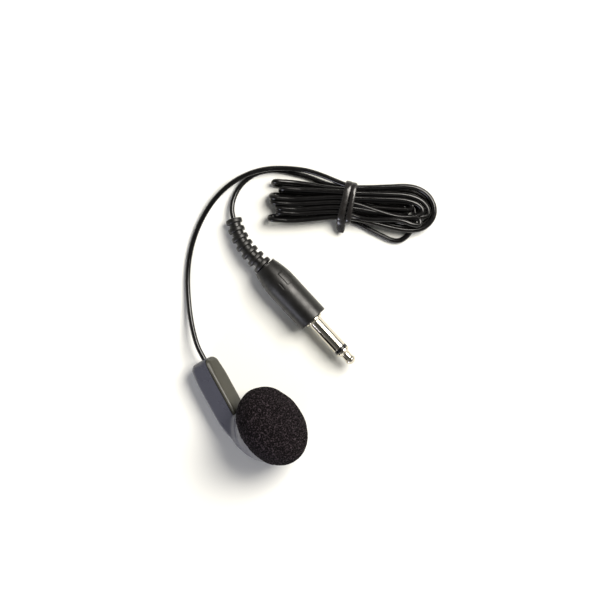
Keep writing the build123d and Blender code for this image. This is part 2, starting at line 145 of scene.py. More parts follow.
table_mesh = bpy.data.meshes.new("table")
half = TABLE_SIZE / 2
table_mesh.from_pydata([(-half, -half, 0), (half, -half, 0), (half, half, 0), (-half, half, 0)],
                       [], [(0, 1, 2, 3)])
table = bpy.data.objects.new("table", table_mesh)
scene.collection.objects.link(table)

# %% [markdown]
# Every finish starts from the real material.  Most share the same make: a Principled
# shader, a slow change of gloss, and a bump whose grain is given in millimetres.  These
# helpers make that common part, and each finish adds what is its own.
# %% The common part of a finish


def finish_of(name, colour, roughness, ior=1.5, metallic=0.0, coat=0.0):
    """A material, its tree and its Principled shader, for the finish to add to."""
    material = bpy.data.materials.new(name)
    material.use_nodes = True
    tree = material.node_tree
    shader = tree.nodes["Principled BSDF"]
    shader.inputs["Base Color"].default_value = linear(colour)
    shader.inputs["Roughness"].default_value = roughness
    shader.inputs["IOR"].default_value = ior
    shader.inputs["Metallic"].default_value = metallic
    shader.inputs["Coat Weight"].default_value = coat
    return material, tree, shader


def grain(tree, shader, size_mm, depth_mm, strength):
    """A fine noise bump with grains of a real size."""
    place = add_node(tree, "ShaderNodeTexCoord")
    grains = add_node(tree, "ShaderNodeTexNoise", {
        "Vector": place.outputs["Object"], "Scale": 1 / (size_mm * MM), "Detail": 3.0})
    bump = add_node(tree, "ShaderNodeBump", {
        "Height": grains.outputs["Fac"], "Distance": depth_mm * MM, "Strength": strength})
    tree.links.new(bump.outputs["Normal"], shader.inputs["Normal"])


def wear(tree, shader, smooth, rough, size_mm):
    """Roughness that changes over the surface, as handling leaves it."""
    place = add_node(tree, "ShaderNodeTexCoord")
    patches = add_node(tree, "ShaderNodeTexNoise", {
        "Vector": place.outputs["Object"], "Scale": 1 / (size_mm * MM), "Detail": 4.0})
    spread = add_node(tree, "ShaderNodeMapRange", {
        "Value": patches.outputs["Fac"], "From Min": 0.3, "From Max": 0.7,
        "To Min": smooth, "To Max": rough})
    tree.links.new(spread.outputs["Result"], shader.inputs["Roughness"])


def put_on(obj, material):
    """Give an object its one material."""
    obj.data.materials.clear()
    obj.data.materials.append(material)
    return obj


# %% [markdown]
# The table is uncoated white card.  Its felt surface scatters light, so it has no highlight,
# and it is a little off white, so that it takes a shadow without a colour of its own.
# %% Table finish
paper, paper_tree, paper_shader = finish_of("white_card", "#f7f8f4", 0.75)
grain(paper_tree, paper_shader, 0.4, 0.02, 0.3)
put_on(table, paper)

# %% [markdown]
# The lead is flexible PVC, extruded round, so it is smooth and glossy along its length, with
# the faintest ripple from the die.  Black PVC is a true black; the light on it comes only
# from the narrow reflection of the softboxes.
# %% Finish of the lead
CORD_D = 1.25

cord_pvc, tree, shader = finish_of("extruded_black_PVC", "#090808", 0.18, ior=1.5)
wear(tree, shader, 0.13, 0.24, 1.6)
grain(tree, shader, 0.9, 0.01, 0.2)

# %% [markdown]
# The lead is one piece of cord from the stem to the plug, so it is drawn as one curve.  Its
# two free stretches follow listed points.  Between them the cord is wound into a hank:
# it goes through the tie twenty times, in three layers.  A loop works the turns out from a
# short list that says, for each turn, which place it takes in the tie, how far it reaches
# and how wide it opens.
# %% Route of the two free stretches
CLEAR = 0.03                # mm between the table and what lies on it
LIE = CORD_D / 2 + CLEAR
INSIDE_STEM = (-5.045, 14.586, 4.108)
CORD_EXIT = (-5.045, 16.084, 4.024)
EAR_ROUTE = [
    CORD_EXIT, (-5.045, 20.077, 3.801), (-3.6, 25.6, 2.2), (-1.45, 31.0, 1.0), (1.3, 36.6, LIE),
    (5.3, 42.0, LIE), (10.6, 46.6, 0.9), (16.8, 49.9, 1.7), (23.4, 51.15, 2.3),
    (30.0, 50.2, 2.2), (36.0, 47.0, 2.0), (40.6, 43.4, 2.4)]
PLUG_ROUTE = [
    (16.95, 40.2, 2.45), (17.68, 42.83, 2.1), (18.25, 44.9, 1.75), (19.9, 47.2, 1.2),
    (22.9, 49.3, 0.8), (26.6, 50.1, LIE), (30.3, 49.5, LIE), (33.4, 47.9, LIE),
    (36.3, 45.4, LIE), (39.1, 42.7, LIE), (41.8, 39.2, 0.9)]

# %% [markdown]
# The hank has its own flat frame on the table: u runs along the bundle from the tight folds
# to the open loops, v runs across it, and the tie sits near u = 0.  A place in the tie is a
# layer and a slot; the slots of the middle layer lie in the valleys of the other two, as
# round cords settle.
# %% Places in the tie
HANK_PLACE = (42.45, 32.85)
HANK_HEADING = radians(-32.5)
TIE_SLANT = radians(9)
TIE_U = 1.2
BUNDLE_V = 0.95             # the bundle's middle at the tie
SLOT = 0.82                 # mm across the bundle for one unit of slot number
TIE_HEIGHT = {"top": 3.33, "middle": 2.24, "low": 1.15}
RUN_HEIGHT = {"top": 3.14, "middle": 1.9, "low": LIE}


def on_table(u, v, z):
    """A point of the hank's frame as a point of the row frame, in millimetres."""
    c, s = cos(HANK_HEADING), sin(HANK_HEADING)
    return (HANK_PLACE[0] + c * u - s * v, HANK_PLACE[1] + s * u + c * v, z)


def in_tie(layer, slot):
    """A place in the slanted tie, in the hank's frame."""
    v = BUNDLE_V + SLOT * slot
    return (TIE_U + tan(TIE_SLANT) * (v - BUNDLE_V), v, TIE_HEIGHT[layer])


def mix(a, b, share):
    """The value that is a share of the way from a to b."""
    return a + (b - a) * share


# %% [markdown]
# A turn is an open loop at one end of the hank and a tight fold at the other.  The open loop
# spreads to a shoulder, rounds its far end and comes back over a belly, while it sinks
# towards the table.  The tight fold stands nearly upright, one leg over the other, so from
# above it looks like a narrow fingertip.
# %% How a turn is shaped
NARROW = 3.0                # mm between a loop's two sides


def open_loop(upper, lower, reach, tip_v, shoulder, belly, tip_z):
    """Points of a loop from its upper slot round its far end to its lower slot."""
    (_, v_up, _), (_, v_low, _) = in_tie(*upper), in_tie(*lower)
    plan = [
        (0.22, mix(v_up, shoulder, 0.12)), (0.47, mix(v_up, shoulder, 0.5)),
        (0.74, shoulder), (0.91, mix(shoulder, tip_v, 0.22)), (0.995, mix(shoulder, tip_v, 0.6)),
        (1.015, tip_v), (0.965, mix(tip_v, belly, 0.55)), (0.86, mix(tip_v, belly, 0.93)),
        (0.68, belly), (0.42, mix(v_low, belly, 0.55)), (0.2, mix(v_low, belly, 0.1))]
    if shoulder - belly < NARROW:           # two corners round a narrow end more evenly
        plan[3:8] = [(0.86, shoulder), (1.01, shoulder), (1.01, belly), (0.86, belly)]
    heights = (RUN_HEIGHT[upper[0]], RUN_HEIGHT[lower[0]])
    points = []
    for number, (share, v) in enumerate(plan):
        run = heights[0] if number < len(plan) / 2 else heights[1]
        points.append((share * reach, v, mix(run, tip_z, min(share, 1) ** 2)))
    return points


def tight_fold(a, b, tip_u, tip_v, lean=0.4):
    """Points of an upright fold from slot a round its tip to slot b."""
    (_, v_a, _), (_, v_b, _) = in_tie(*a), in_tie(*b)
    turn_u = tip_u + CORD_D / 2
    side = lean if v_a > v_b else -lean
    order = ["low", "middle", "top"]
    a_above = order.index(a[0]) > order.index(b[0])
    legs = []
    for slot, v_tie, v_tip, above in ((a, v_a, tip_v + side, a_above),
                                      (b, v_b, tip_v - side, not a_above)):
        run = RUN_HEIGHT[slot[0]]
        bulge = {"top": 3.5, "middle": 2.7}[slot[0]] if above else \
            {"low": LIE, "middle": 1.15}[slot[0]]
        legs.append([(-3.0, mix(v_tie, v_tip, 0.15), run), (-8.0, mix(v_tie, v_tip, 0.7), run),
                     (turn_u + 5.0, v_tip, run), (turn_u + 2.6, v_tip, mix(run, bulge, 0.6)),
                     (turn_u, v_tip, bulge)])
    return legs[0] + legs[1][::-1]


def finger(tip_u, tip_v):
    """A tight turn lying on top of the open loops, from the top layer to the low one."""
    run, low = RUN_HEIGHT["top"], RUN_HEIGHT["low"]
    return [(5.5, -2.95, run + 0.2), (9.5, -2.8, run + 0.5), (13.5, -2.4, run + 0.5),
            (16.0, tip_v - 0.15, run + 0.4),
            (17.2, tip_v - 0.6, run + 0.2), (tip_u, tip_v - 0.8, run + 0.1),
            (tip_u, tip_v + 0.85, run - 0.1), (16.8, tip_v + 0.85, run - 0.5),
            (14.6, tip_v + 0.3, 1.9), (11.5, tip_v - 0.2, 1.1), (8.0, -2.9, low),
            (4.5, -2.4, low)]


LOOSE_LOOP = [(4.5, -4.1), (7.6, -5.5), (10.3, -6.6), (12.8, -7.6), (15.0, -7.5), (16.7, -6.0),
              (17.9, -3.6), (18.0, -0.4), (17.3, 2.6), (14.8, 4.7), (10.5, 4.9), (6.0, 4.4)]

# %% Wind the hank
# Each row gives the kind of turn and its two places in the tie.  After them a loop has its
# reach, tip, shoulder, belly and tip height; a fold and the finger have where their tip is.
TURNS = [
    ("loop", ("top", 4.5), ("top", -4.5), 22.5, -0.5, 6.1, -4.95, 1.95),
    ("fold", ("top", -4.5), ("middle", -3.75), -18.1, -4.05),
    ("loop", ("middle", 3.75), ("middle", -3.75), 21.7, -0.5, 5.2, -4.2, LIE),
    ("fold", ("middle", 3.75), ("low", 3), -17.7, 4.6),
    ("loop", ("low", 3), ("low", -1.5), 16.5, 0.6, 3.2, -1.6, LIE),
    ("fold", ("low", -1.5), ("middle", -0.75), -14.8, -1.2),
    ("loop", ("middle", 0.75), ("middle", -0.75), 17.0, 0.3, 1.9, 0.2, 1.9),
    ("fold", ("middle", 0.75), ("top", 0), -17.8, 0.1),
    ("loop", ("top", 1.5), ("top", 0), 19.6, -0.2, 2.6, -1.75, 2.2),
    ("fold", ("top", 1.5), ("low", 1.5), -18.1, 1.3),
    ("loop", ("low", 1.5), ("low", 0), 15.4, 0.3, 1.1, -0.9, LIE),
    ("fold", ("low", 0), ("top", -1.5), -16.4, -1.2),
    ("loop", ("top", 3), ("top", -1.5), 21.1, -0.7, 3.85, -1.6, 1.75),
    ("fold", ("top", 3), ("middle", 2.25), -15.8, 2.9),
    ("loop", ("middle", 2.25), ("middle", -2.25), 18.9, 0.2, 3.0, -2.3, 0.9),
    ("fold", ("middle", -2.25), ("low", -3), -15.0, -2.4),
    ("finger", ("low", -3), ("top", -3), 19.3, -2.75),
    ("fold", ("top", -3), ("low", -4.5), -16.3, -3.0),
    ("loose", ("low", -4.5), ("low", 4.5)),
]


def wind(turns):
    """The centreline of the whole hank, through the tie between any two turns."""
    place = ("top", 4.5)
    points = [in_tie(*place)]
    for kind, first, last, *shape in turns:
        if kind == "loop":
            stretch = open_loop(first, last, *shape)
        elif kind == "fold":
            stretch = tight_fold(first, last, *shape)
        elif kind == "finger":
            stretch = finger(*shape)[::-1]
        else:
            stretch = [(u, v, LIE) for u, v in LOOSE_LOOP]
        if first != place:
            stretch, last = stretch[::-1], first
        points += stretch + [in_tie(*last)]
        place = last
    return points


hank_points = wind(TURNS)
print("hank:", len(TURNS), "turns,", len(hank_points), "points")

# %% [markdown]
# A NURBS curve needs only the control points; it rounds every corner by itself.  Its order
# is set after the points, or Blender leaves it straight between them.  The bevel gives the
# curve the cord's round section.
# %% Draw the lead as one curve


def nurbs_curve(name, points_mm, diameter_mm, along):
    """A round cord along control points given in millimetres; along is its fineness."""
    curve = bpy.data.curves.new(name, "CURVE")
    curve.dimensions = "3D"
    spline = curve.splines.new("NURBS")
    spline.points.add(len(points_mm) - 1)
    for point, place in zip(spline.points, points_mm):
        point.co = (*(Vector(place) * MM), 1)
    spline.order_u = 3
    spline.use_endpoint_u = True
    spline.resolution_u = along
    curve.bevel_depth = diameter_mm * MM / 2
    curve.bevel_resolution = 4
    curve.use_fill_caps = True
    obj = bpy.data.objects.new(name, curve)
    scene.collection.objects.link(obj)
    return obj


def centreline(points_mm):
    """The smooth line of the same control points, as vectors in metres."""
    plain = nurbs_curve("centreline", points_mm, 0, along=12)
    plain.data.use_fill_caps = False
    bpy.context.view_layer.update()
    mesh = bpy.data.meshes.new_from_object(plain)
    line = [v.co.copy() for v in mesh.vertices]
    bpy.data.objects.remove(plain)
    return line


lead_points = [INSIDE_STEM] + EAR_ROUTE + [on_table(*p) for p in hank_points] + PLUG_ROUTE[::-1]
lead_line = centreline(lead_points)
lead_length = sum((b - a).length for a, b in zip(lead_line, lead_line[1:]))
lead = put_on(nurbs_curve("lead", lead_points, CORD_D, along=9), cord_pvc)
print("lead length", round(lead_length, 3), "m, points", len(lead_points))

# %% [markdown]
# A finished piece is put on the body it moves with, and the CAD nodes that it stands for
# are hidden.
# %% Hand the lead over to the frame


def hand_over(piece, body, slot_name, *cad_nodes):
    """Put a piece on its body in place of its CAD nodes."""
    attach(piece, body)
    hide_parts(*cad_nodes)
    print(piece.name, "stands for", ", ".join(cad_nodes))


hand_over(lead, "earpiece", "cord_pvc", "earphone_lead", "cord_hank", "plug_lead")

# %% [markdown]
# The head and the stem stand on two slanted axes, so each gets a small frame of its own: an
# origin and three directions, worked out from how the earpiece lies.  A point is then given
# as it would be on a drawing of that part.
# %% Frames of the head, the stem and the plug
HEAD_CENTRE = Vector((1.80, -5.97, 9.45))
STEM_BEHIND = 8.8
PLUG_FACE = Vector((22.98, 11.9, 3.85))


def direction(heading, elevation=0.0):
    """A unit vector from a compass heading and an elevation, in degrees."""
    h, e = radians(heading), radians(elevation)
    return Vector((cos(h) * cos(e), sin(h) * cos(e), sin(e)))


class Placed:
    """A drawing frame: its z runs along the part's axis."""

    def __init__(self, origin, z, x_hint):
        self.origin, self.z = np.array(origin), np.array(z)
        x = Vector(x_hint) - Vector(z) * Vector(x_hint).dot(Vector(z))
        self.x = np.array(x.normalized())
        self.y = np.cross(self.z, self.x)
        self.turn = np.array([self.x, self.y, self.z])

    def out(self, local):
        """Points of this frame in the row frame."""
        return np.asarray(local, float) @ self.turn + self.origin

    def into(self, points):
        """Points of the row frame in this frame."""
        return (np.asarray(points, float) - self.origin) @ self.turn.T


face_dir, stem_dir, plug_dir = direction(7.1, 31), direction(90, -3.2), direction(-75.9)
HEAD = Placed(HEAD_CENTRE, face_dir, stem_dir)
STEM = Placed(HEAD_CENTRE - face_dir * STEM_BEHIND, stem_dir, face_dir)
PLUG = Placed(PLUG_FACE, plug_dir, (0, 0, 1))
print("stem starts at", np.round(STEM.origin, 2))

# %% [markdown]
# Turned parts are rings of points round an axis.  The outline runs from the axis to the
# axis, or closes on itself when the part has a bore.  Rounded edges are part of the outline,
# so they shade softly, and a sharp edge is marked where two faces meet at a real angle.
# %% Turned parts and rounded outlines


def to_object(name, points_mm, faces, sharp=35):
    """A smooth-shaded mesh object from points in millimetres."""
    mesh = bpy.data.meshes.new(name)
    mesh.from_pydata([tuple(p) for p in np.asarray(points_mm) * MM], [], faces)
    mesh.validate()
    body = bmesh.new()
    body.from_mesh(mesh)
    bmesh.ops.remove_doubles(body, verts=body.verts, dist=1e-7)
    bmesh.ops.recalc_face_normals(body, faces=body.faces)
    body.to_mesh(mesh)
    body.free()
    mesh.polygons.foreach_set("use_smooth", [True] * len(mesh.polygons))
    mesh.set_sharp_from_angle(angle=radians(sharp))
    obj = bpy.data.objects.new(name, mesh)
    scene.collection.objects.link(obj)
    print(name + ":", len(mesh.polygons), "faces")
    return obj


def rounded(corners, radius, steps=5, closed=False):
    """An outline with each inner corner replaced by a short arc."""
    count = len(corners)
    result = []
    for number, corner in enumerate(corners):
        if not closed and number in (0, count - 1):
            result.append(corner)
            continue
        here = np.array(corner, float)
        before, after = (np.array(corners[number - 1], float),
                         np.array(corners[(number + 1) % count], float))
        reach = min(radius, 0.45 * np.linalg.norm(before - here),
                    0.45 * np.linalg.norm(after - here))
        a = here + (before - here) / np.linalg.norm(before - here) * reach
        b = here + (after - here) / np.linalg.norm(after - here) * reach
        for t in np.linspace(0, 1, steps):
            result.append(tuple((1 - t) ** 2 * a + 2 * t * (1 - t) * here + t ** 2 * b))
    return result


def turned_points(outline, placed, rounds=96, closed=False):
    """Points and faces of an outline of (radius, along) turned about the frame's axis."""
    points, rings, faces = [], [], []
    for radius, along in outline:
        count = 1 if radius < 1e-6 else rounds
        rings.append(list(range(len(points), len(points) + count)))
        turn = np.arange(count) * 2 * pi / rounds
        points += list(np.stack([radius * np.cos(turn), radius * np.sin(turn),
                                 np.full(count, float(along))], 1))
    pairs = list(zip(rings, rings[1:])) + ([(rings[-1], rings[0])] if closed else [])
    for low, high in pairs:
        for number in range(rounds):
            after = (number + 1) % rounds
            quad = [low[number % len(low)], low[after % len(low)],
                    high[after % len(high)], high[number % len(high)]]
            face = list(dict.fromkeys(quad))
            if len(face) > 2:
                faces.append(face)
    return placed.out(points), faces


# %% [markdown]
# The ear cushion is open-cell polyurethane foam, cut as a ball-like cup and pulled over the
# head.  Its surface is all cell walls and holes about half a millimetre across, with no
# skin, so it has almost no gloss.  The outline is turned first; then every point is pushed
# in where it falls inside a cell, and the whole ball is made slightly lumpy.
# %% Finish of the foam
# The finer pores are only painted, as shade in each hole and a highlight on its walls, over a
# bump.
FINE_CELL = 0.34            # mm, the small pores that only the shading shows
FINE_DEPTH = 0.12           # mm

foam_pu, tree, shader = finish_of("open_cell_polyurethane_foam", "#141112", 0.95, ior=1.35)
shader.inputs["Specular IOR Level"].default_value = 0.2
place = add_node(tree, "ShaderNodeTexCoord")
cells = add_node(tree, "ShaderNodeTexVoronoi", {
    "Vector": place.outputs["Object"], "Scale": 1 / (FINE_CELL * MM)})
# The ramp paints shade and highlight: dark in the middle of each small cell for the shade in its
# hole, lighter at the cell walls for the highlight on the struts.
pore_shade_and_strut_highlight = add_node(tree, "ShaderNodeValToRGB", {"Fac": cells.outputs["Distance"]})
pore_shade_and_strut_highlight.color_ramp.elements[0].position, pore_shade_and_strut_highlight.color_ramp.elements[0].color = 0.5, linear("#060405")
pore_shade_and_strut_highlight.color_ramp.elements[1].position, pore_shade_and_strut_highlight.color_ramp.elements[1].color = 1.0, linear("#443c41")
tree.links.new(pore_shade_and_strut_highlight.outputs["Color"], shader.inputs["Base Color"])
bump = add_node(tree, "ShaderNodeBump", {
    "Height": cells.outputs["Distance"], "Distance": FINE_DEPTH * MM, "Strength": 0.9})
tree.links.new(bump.outputs["Normal"], shader.inputs["Normal"])

# %% Foam cushion
FOAM_R, FOAM_HALF = 10.2, 6.2
FOAM_BORE_R, FOAM_FLOOR = 8.5, 3.05
FULLNESS = 2.2              # 2 would be an ellipse; more is fuller at the edge
OPENING = radians(122)      # where the outside turns into the lip
CELL = 0.58                 # mm, the pores that are cut into the mesh
PORE_DEPTH, PORE_SLOPE = 0.24, 2.2
LUMP, LUMP_SIZE = 0.12, 3.1
FOAM_STEP, FOAM_ROUNDS = 0.15, 380      # points a quarter of a pore apart
NEAR_AXIS = 0.05            # a ring smaller than this is drawn as one point


def foam_outline():
    """From the middle of the ear side, round the edge and the lip, to the inner floor."""
    outside = []
    for t in np.linspace(0, OPENING, 120):
        c, si = cos(t), sin(t)
        outside.append((FOAM_R * si ** (2 / FULLNESS),
                        FOAM_HALF * np.sign(c) * abs(c) ** (2 / FULLNESS)))
    end_r, end_w = outside[-1]
    lip = [(end_r - 0.08, end_w - 0.35), (FOAM_BORE_R, end_w - 0.4)]
    inner = [(FOAM_BORE_R, FOAM_FLOOR), (0, FOAM_FLOOR)]
    return outside + rounded([outside[-1]] + lip + inner, 0.5, steps=8)[1:]


def evenly(outline, step):
    """The outline with points an even step apart."""
    line = np.array(outline, float)
    run = np.concatenate([[0], np.cumsum(np.linalg.norm(np.diff(line, axis=0), axis=1))])
    places = np.linspace(0, run[-1], int(run[-1] / step))
    return list(zip(np.interp(places, run, line[:, 0]), np.interp(places, run, line[:, 1])))


noise.seed_set(7)
foam_points, foam_faces = turned_points(
    [(r if r > NEAR_AXIS else 0, w) for r, w in evenly(foam_outline(), FOAM_STEP)],
    HEAD, rounds=FOAM_ROUNDS)
foam = to_object("ear_foam", foam_points, foam_faces, sharp=180)
normals = np.array([v.normal for v in foam.data.vertices])
outside = np.array([v.co for v in foam.data.vertices]) / MM
for number, point in enumerate(outside):
    near = noise.voronoi(Vector(point) / CELL)[0]
    hole = min(1, max(0, (near[1] - near[0]) * PORE_SLOPE))
    lump = noise.noise(Vector(point) / LUMP_SIZE)
    point += normals[number] * (LUMP * lump - PORE_DEPTH * hole * hole)
outside[:, 2] = np.maximum(outside[:, 2], CLEAR)
foam.data.vertices.foreach_set("co", (outside * MM).ravel())
foam.data.update()
hand_over(put_on(foam, foam_pu), "cushion", "cushion_foam", "foam_cushion")

# %% [markdown]
# The shell of the head and the stem is one ABS moulding in which a bowl flows into a square
# bar.  Such a blend is easy to say as a distance: how far a point is from the bowl, how far
# from the bar, and a soft minimum of the two.  A net of small cells finds where that
# distance is zero, and each point of the net then slides exactly onto the surface.
# %% Shapes from a distance
CREASE_REACH = 0.75         # how near to a crease a point is set on it, in cells


def onto(points, distance):
    """Slide points along the slope of a distance until it is zero."""
    step = 1e-3
    slope = np.stack([(distance(points + step * e) - distance(points - step * e))
                      / (2 * step) for e in np.eye(3)], 1)
    return points - (distance(points) / np.maximum((slope ** 2).sum(1), 0.2))[:, None] * slope


def surface_of(name, distance, low, high, cell, creases=()):
    """A closed smooth mesh where distance(points) is zero, from a net of small cells.

    Points near a crease, where two distances meet, are set exactly on it.
    """
    axes = [np.arange(a, b, cell) for a, b in zip(low, high)]
    grid = np.stack(np.meshgrid(*axes, indexing="ij"), -1)
    value = distance(grid.reshape(-1, 3)).reshape(grid.shape[:3])
    solid = value < 0
    count = np.zeros([n - 1 for n in solid.shape], int)
    for i, j, k in np.ndindex(2, 2, 2):
        count += solid[i:i + count.shape[0], j:j + count.shape[1], k:k + count.shape[2]]
    active = (count > 0) & (count < 8)
    number = np.full(active.shape, -1)
    number[active] = np.arange(active.sum())
    points = grid[:-1, :-1, :-1][active] + cell / 2
    faces = []
    for axis in range(3):
        b, c = [a for a in range(3) if a != axis]
        first = np.take(solid, range(solid.shape[axis] - 1), axis)
        second = np.take(solid, range(1, solid.shape[axis]), axis)
        for place in np.argwhere(first != second):
            if place[b] == 0 or place[c] == 0:
                continue
            around = []
            for back_b, back_c in ((1, 1), (0, 1), (0, 0), (1, 0)):
                at = place.copy()
                at[b] -= back_b
                at[c] -= back_c
                around.append(number[tuple(at)])
            faces.append(around)
    for _ in range(6):
        points = onto(points, distance)
    for first, second in creases:
        near = ((abs(first(points)) < CREASE_REACH * cell)
                & (abs(second(points)) < CREASE_REACH * cell))
        for _ in range(8):
            points[near] = onto(onto(points[near], first), second)
    return to_object(name, points, faces, sharp=50)


def to_outline(flat, outline):
    """Signed distance from (radius, along) pairs to a closed outline; inside is negative."""
    line = np.array(outline, float)
    best = np.full(len(flat), 1e9)
    inside = np.zeros(len(flat), bool)
    for a, b in zip(line, np.roll(line, -1, axis=0)):
        run = b - a
        share = np.clip(((flat - a) @ run) / max(run @ run, 1e-12), 0, 1)
        best = np.minimum(best, np.linalg.norm(flat - a - share[:, None] * run, axis=1))
        crosses = (a[1] > flat[:, 1]) != (b[1] > flat[:, 1])
        rise = np.where(abs(run[1]) < 1e-12, 1e-12, run[1])
        inside ^= crosses & (flat[:, 0] < run[0] * (flat[:, 1] - a[1]) / rise + a[0])
    return np.where(inside, -best, best)


def soft_min(a, b, blend):
    """The smaller of two distances, with the join between them rounded off."""
    share = np.clip(0.5 + 0.5 * (b - a) / blend, 0, 1)
    return b + (a - b) * share - blend * share * (1 - share)


def box_distance(local, low, high, radius):
    """Signed distance to a box with rounded edges."""
    middle, half = (low + np.array(high)) / 2, (np.array(high) - low) / 2
    reach = abs(local - middle) - (half - radius[:, None])
    return (np.linalg.norm(np.maximum(reach, 0), axis=1)
            + np.minimum(reach.max(axis=1), 0) - radius)


# %% [markdown]
# The two ABS mouldings differ in tint: the shell is a bluish dark grey, the strip along the
# front of the stem is an olive grey.  Both come from a finely eroded steel mould, which
# leaves a satin surface; handling has polished it a little in places.
# %% Finishes of the two mouldings
shell_abs, tree, shader = finish_of("satin_ABS_slate_grey", "#454650", 0.30, ior=1.55)
wear(tree, shader, 0.25, 0.36, 4.0)
grain(tree, shader, 0.22, 0.006, 0.5)
strip_abs, tree, shader = finish_of("satin_ABS_olive_grey", "#34332a", 0.42, ior=1.53)
wear(tree, shader, 0.36, 0.47, 4.0)
grain(tree, shader, 0.22, 0.006, 0.5)

# %% Rear shell and front strip
RIM_R, SPLIT_W, BOWL_TIP_R, BOWL_TIP_W = 8.4, -2.4, 4.95, -5.45
STEM_HALF, STEM_LENGTH, STEM_ROUND, END_ROUNDER = 2.95, 23.0, 0.85, 0.8
SEAM_X, SEAM = 2.17, 0.2
STRIP_START = 7.2           # the strip starts here along the stem, behind the cushion
BOWL_FLANK, RIM_START = (6.5, -6.35), -3.0      # a (radius, along) on its side; the rim
BEND_START, BEND, BEND_LIMIT = 9.0, 0.03, 1     # the bar's back curves in, into the bowl
ROUNDER_START, ROUNDER_OVER = 5, 4              # the far end's edges round off over these
STRIP_GAP = 0.25            # mm between the strip and the bowl
BLEND = 2.0                 # mm over which the bowl flows into the bar
WALL = 1.0
NET = 0.26                  # mm, one cell of the net


def bowl_outline():
    """The bowl's half outline, run on past the split so that the cut is clean."""
    tip = [(BOWL_TIP_R * cos(a), BOWL_TIP_W + BOWL_TIP_R * sin(a))
           for a in np.linspace(-pi / 2, -pi / 4, 8)]
    middle, rim = np.array(BOWL_FLANK), np.array((RIM_R, RIM_START))
    start = np.array(tip[-1])
    pull = 2 * middle - (start + rim) / 2
    flank = [tuple((1 - t) ** 2 * start + 2 * t * (1 - t) * pull + t ** 2 * rim)
             for t in np.linspace(0.05, 1, 20)]
    return tip + flank + [(RIM_R, 0), (0, 0)]


BOWL = bowl_outline()


def bowl_distance(points):
    """Signed distance to the bowl."""
    local = HEAD.into(points)
    return to_outline(np.stack([np.hypot(local[:, 0], local[:, 1]), local[:, 2]], 1), BOWL)


def stem_distance(points):
    """Signed distance to the stem's whole bar."""
    local = STEM.into(points)
    back = -STEM_HALF + BEND * np.maximum(BEND_START - local[:, 2], 0) ** 2
    low = np.stack([np.minimum(back, BEND_LIMIT), np.full(len(local), -STEM_HALF),
                    np.zeros(len(local))], 1)
    near_end = np.clip((local[:, 2] - STEM_LENGTH + ROUNDER_START) / ROUNDER_OVER, 0, 1)
    return box_distance(local, low, (STEM_HALF, STEM_HALF, STEM_LENGTH),
                        STEM_ROUND + END_ROUNDER * near_end)


def notch(points):
    """The space that the shell leaves for the strip."""
    local = STEM.into(points)
    return np.minimum(local[:, 0] - (SEAM_X - SEAM / 2), local[:, 2] - STRIP_START + SEAM / 2)


def strip_space(points):
    """The space that the strip fills."""
    local = STEM.into(points)
    return np.maximum(SEAM_X + SEAM / 2 - local[:, 0], STRIP_START + SEAM / 2 - local[:, 2])


def shell_distance(points):
    """Signed distance to the shell's outside."""
    bar = np.maximum(stem_distance(points), notch(points))
    return soft_min(bowl_distance(points), bar, BLEND)


def strip_distance(points):
    """Signed distance to the strip."""
    bar = np.maximum(stem_distance(points), strip_space(points))
    return np.maximum(bar, STRIP_GAP - bowl_distance(points))


def shell_wall(points):
    """The shell with its hollow inside and its flat rim."""
    outer = shell_distance(points)
    return np.maximum(np.maximum(outer, -outer - WALL), HEAD.into(points)[:, 2] - SPLIT_W)


shell = surface_of("shell_moulding", shell_wall, (-14, -18, -1), (10, 18, 20), NET,
                   [(stem_distance, notch)])
strip = surface_of("front_strip", strip_distance, (-14, -8, -1), (4, 18, 12), NET * 0.8,
                   [(stem_distance, strip_space)])
hand_over(put_on(shell, shell_abs), "earpiece", "shell_plastic", "rear_shell")
hand_over(put_on(strip, strip_abs), "earpiece", "cover_plastic", "stem_cover")

# %% [markdown]
# The plug's grip is soft PVC moulded over the contacts, smooth and slightly oily to the eye:
# satin, with a broad highlight.  A shallow raised panel near the taper and a short slot show
# where the mould's insert sat.
# %% Finish of the plug's PVC
plug_pvc, tree, shader = finish_of("moulded_soft_PVC", "#100f0d", 0.38, ior=1.5)
wear(tree, shader, 0.32, 0.46, 1.8)
grain(tree, shader, 0.35, 0.012, 0.6)

# %% Plug barrel
BARREL_R, BARREL_STRAIGHT, BARREL_LENGTH, BARREL_BACK_R = 3.83, 11.7, 17.6, 2.95
BARREL_BORE = 2.3
PANEL = (-13.9, -10.4, radians(-31), radians(12))       # along the axis, then round it
SLOT_MARK = (-12.1, -10.1, radians(2), radians(2.5))
PANEL_RISE, SLOT_DEPTH = 0.09, 0.045
EDGE_ALONG, EDGE_ROUND = 0.15, 0.04             # how softly the marks begin


def barrel_outline():
    """Out of the bore, along the straight and the taper, and into the cord's hole."""
    taper = [(BARREL_R - 0.88 * t ** 1.7, -BARREL_STRAIGHT - t * 5.6)
             for t in np.linspace(0, 1, 40)]
    straight = [(BARREL_R, -w) for w in np.linspace(0.5, BARREL_STRAIGHT - 0.2, 70)]
    front = rounded([(BARREL_BORE, -0.4), (BARREL_BORE, 0), (BARREL_R, 0), straight[0]], 0.4)
    back = rounded([taper[-1], (BARREL_BACK_R, -BARREL_LENGTH), (1.3, -BARREL_LENGTH),
                    (1.3, -BARREL_LENGTH + 2)], 0.25)
    return front + straight[1:] + taper + back[1:]


def window(value, middle, half_width, edge):
    """1 inside a band, 0 outside it, with a soft edge."""
    return np.clip((half_width - abs(value - middle)) / edge + 0.5, 0, 1)


